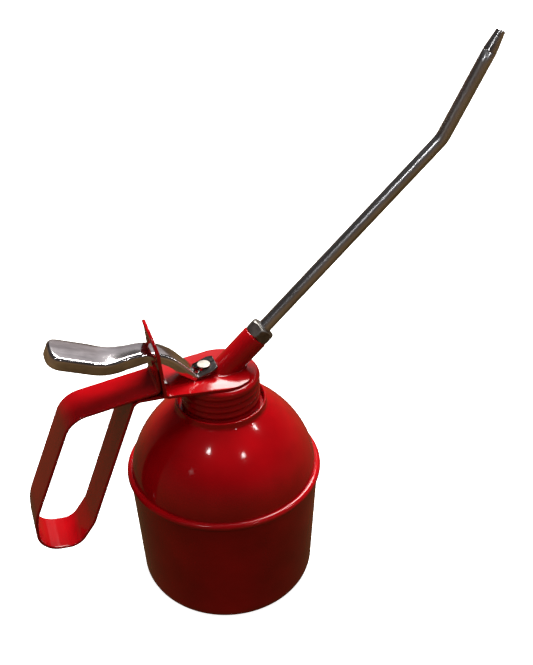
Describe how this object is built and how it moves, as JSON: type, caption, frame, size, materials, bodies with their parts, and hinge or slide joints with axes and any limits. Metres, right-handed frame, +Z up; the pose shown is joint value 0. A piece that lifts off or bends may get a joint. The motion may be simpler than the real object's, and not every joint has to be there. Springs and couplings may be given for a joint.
{
  "type": "pump oil can",
  "caption": "Lever-pump oil can: red enamelled can with domed top and screw-on pump head, strap handle, rocking thumb lever and a long bent swivelling spout.",
  "frame": {"origin": "centre of the can's flat base, on the surface it stands on", "axes": "+Z up along the can's axis, +X towards the spout, the handle lies towards -X, +Y to the can's side"},
  "size_m": [0.2373, 0.1, 0.2813],
  "materials": {
    "red_enamel": "deep red gloss stove enamel",
    "bright_plate": "bright plated pressed steel, softly rippled",
    "spout_steel": "drawn steel tube, satin with fine lengthwise lines",
    "nut_steel": "turned and milled steel, dulled",
    "plain_steel": "plain turned steel",
    "pin_face": "pale pin with a sawn end",
    "pump_brass": "turned brass",
    "seal_leather": "oiled leather",
    "cork_gasket": "cork and rubber ring"
  },
  "bodies": {
    "reservoir": {"reservoir_cup": "red_enamel", "reservoir_dome": "red_enamel", "threaded_neck": "plain_steel"},
    "gasket": {"neck_gasket": "cork_gasket"},
    "head": {"screw_cap": "red_enamel", "lever_bracket": "red_enamel", "handle_strap": "red_enamel", "spout_socket": "red_enamel", "pump_head": "plain_steel", "rod_gland_nut": "bright_plate", "rod_packing": "seal_leather", "pump_barrel": "pump_brass", "foot_valve_body": "pump_brass", "dip_tube": "plain_steel", "suction_strainer": "pump_brass", "pump_return_spring": "plain_steel"},
    "lever": {"lever": "bright_plate"},
    "plunger": {"piston_rod": "plain_steel", "rod_button": "pin_face", "piston": "pump_brass", "piston_cup_seal": "seal_leather", "piston_nut": "plain_steel"},
    "valve_ball": {"foot_valve_ball": "plain_steel"},
    "spout": {"spout_tube": "spout_steel", "spout_tip": "spout_steel", "spout_ferrule": "pump_brass"},
    "nut": {"spout_nut": "nut_steel"}
  },
  "joints": [
    {"name": "cap_lift", "type": "slide", "parent": "reservoir", "child": "gasket", "axis": [0, 0, 1], "range_m": [0, 0.0108]},
    {"name": "cap_unscrew", "type": "hinge", "parent": "gasket", "child": "head", "pos_m": [0, 0, 0.118], "axis": [0, 0, 1], "range_deg": [0, 1080]},
    {"name": "lever_rock", "type": "hinge", "parent": "head", "child": "lever", "pos_m": [-0.0315, 0, 0.1459], "axis": [0, -1, 0], "range_deg": [0, 28], "stiffness_Nm_per_rad": 0.3, "springref_deg": -30.37},
    {"name": "piston_slide", "type": "slide", "parent": "head", "child": "plunger", "axis": [0, 0, 1], "range_m": [0, 0.0112], "deforming": ["pump_return_spring"]},
    {"name": "foot_valve_lift", "type": "slide", "parent": "head", "child": "valve_ball", "axis": [0, 0, 1], "range_m": [0, 0.0015]},
    {"name": "spout_swivel", "type": "hinge", "parent": "head", "child": "spout", "pos_m": [0, 0, 0.1274], "axis": [0.7242, 0, 0.6896], "continuous": true},
    {"name": "spout_nut_turn", "type": "hinge", "parent": "head", "child": "nut", "pos_m": [0, 0, 0.1274], "axis": [0.7242, 0, 0.6896], "continuous": true}
  ],
  "couplings": [
    {"joint": "cap_lift", "follows": "cap_unscrew", "m_per_rad": 0.00057296},
    {"joint": "piston_slide", "follows": "lever_rock", "m_per_rad": 0.0225}
  ]
}
